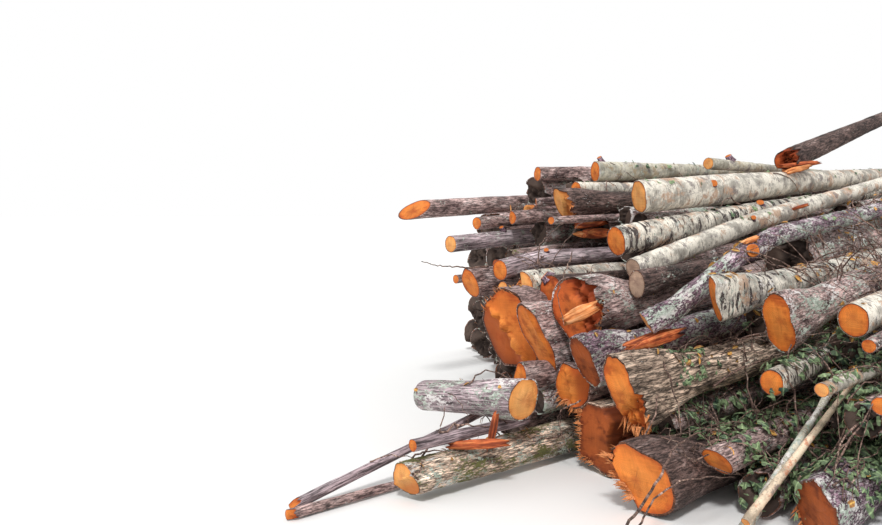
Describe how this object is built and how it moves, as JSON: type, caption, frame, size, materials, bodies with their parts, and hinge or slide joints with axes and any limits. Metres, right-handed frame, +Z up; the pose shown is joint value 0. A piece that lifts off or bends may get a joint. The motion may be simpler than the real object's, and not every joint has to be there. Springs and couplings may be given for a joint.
{
  "type": "stack of logs",
  "caption": "Heap of felled logs laid side by side, with sawn butts at the front, thick logs below and slender birch logs on top.",
  "frame": {"origin": "centre of the heap's box on the ground that it lies on", "axes": "+X along the logs from their sawn butts to the back of the heap, +Y to the left as seen from the butts, +Z up"},
  "size_m": [8.196, 6.0696, 2.9435],
  "materials": {
    "rough_bark": "rough",
    "birch_bark": "rough",
    "inner_bark": "rough"
  },
  "bodies": {
    "root": {"mossy_ground_log": "rough_bark", "hollow_butt_log": "rough_bark", "splintered_ground_log": "rough_bark", "purple_bark_log": "rough_bark", "right_flank_logs": "inner_bark", "ground_layer_logs": "inner_bark", "smooth_pole": "rough_bark", "short_ground_pole": "rough_bark", "long_ground_pole": "rough_bark", "cross_log": "rough_bark", "inner_front_logs": "inner_bark", "lobed_butt_log": "rough_bark", "low_right_log": "rough_bark", "ridged_bark_log": "rough_bark", "second_layer_logs": "inner_bark", "small_front_log": "rough_bark", "lichen_branch": "rough_bark", "pale_pole": "rough_bark", "third_layer_logs": "inner_bark", "stepped_cut_log": "rough_bark", "lichen_log": "rough_bark", "front_middle_log": "rough_bark", "large_front_log": "rough_bark", "white_birch_pole": "birch_bark", "thin_right_pole": "rough_bark", "right_low_log": "rough_bark", "right_pole": "rough_bark", "forked_birch_log": "birch_bark", "oval_forked_log": "rough_bark", "right_birch_log": "birch_bark", "dark_purple_log": "rough_bark", "split_orange_log": "rough_bark", "grey_end_log": "rough_bark", "crooked_log": "birch_bark", "oblique_cut_log": "rough_bark", "split_birch_log": "birch_bark", "pole_under_curve": "rough_bark", "fourth_layer_logs": "inner_bark", "low_left_pole": "rough_bark", "top_layer_logs": "inner_bark", "small_stub_log": "rough_bark", "left_log": "rough_bark", "curved_pole": "rough_bark", "slender_birch_log": "birch_bark", "dark_patched_birch_log": "birch_bark", "thin_middle_log": "rough_bark", "notched_end_log": "rough_bark", "left_middle_log": "rough_bark", "red_end_log": "rough_bark", "thin_upper_log": "rough_bark", "sliver_end_log": "rough_bark", "big_birch_log": "birch_bark", "wedge_tipped_log": "rough_bark", "upper_left_log": "rough_bark", "top_birch_log": "birch_bark", "top_left_log": "rough_bark", "top_stubbed_log": "birch_bark", "back_birch_pole": "birch_bark", "back_dark_log": "rough_bark"}
  },
  "joints": []
}
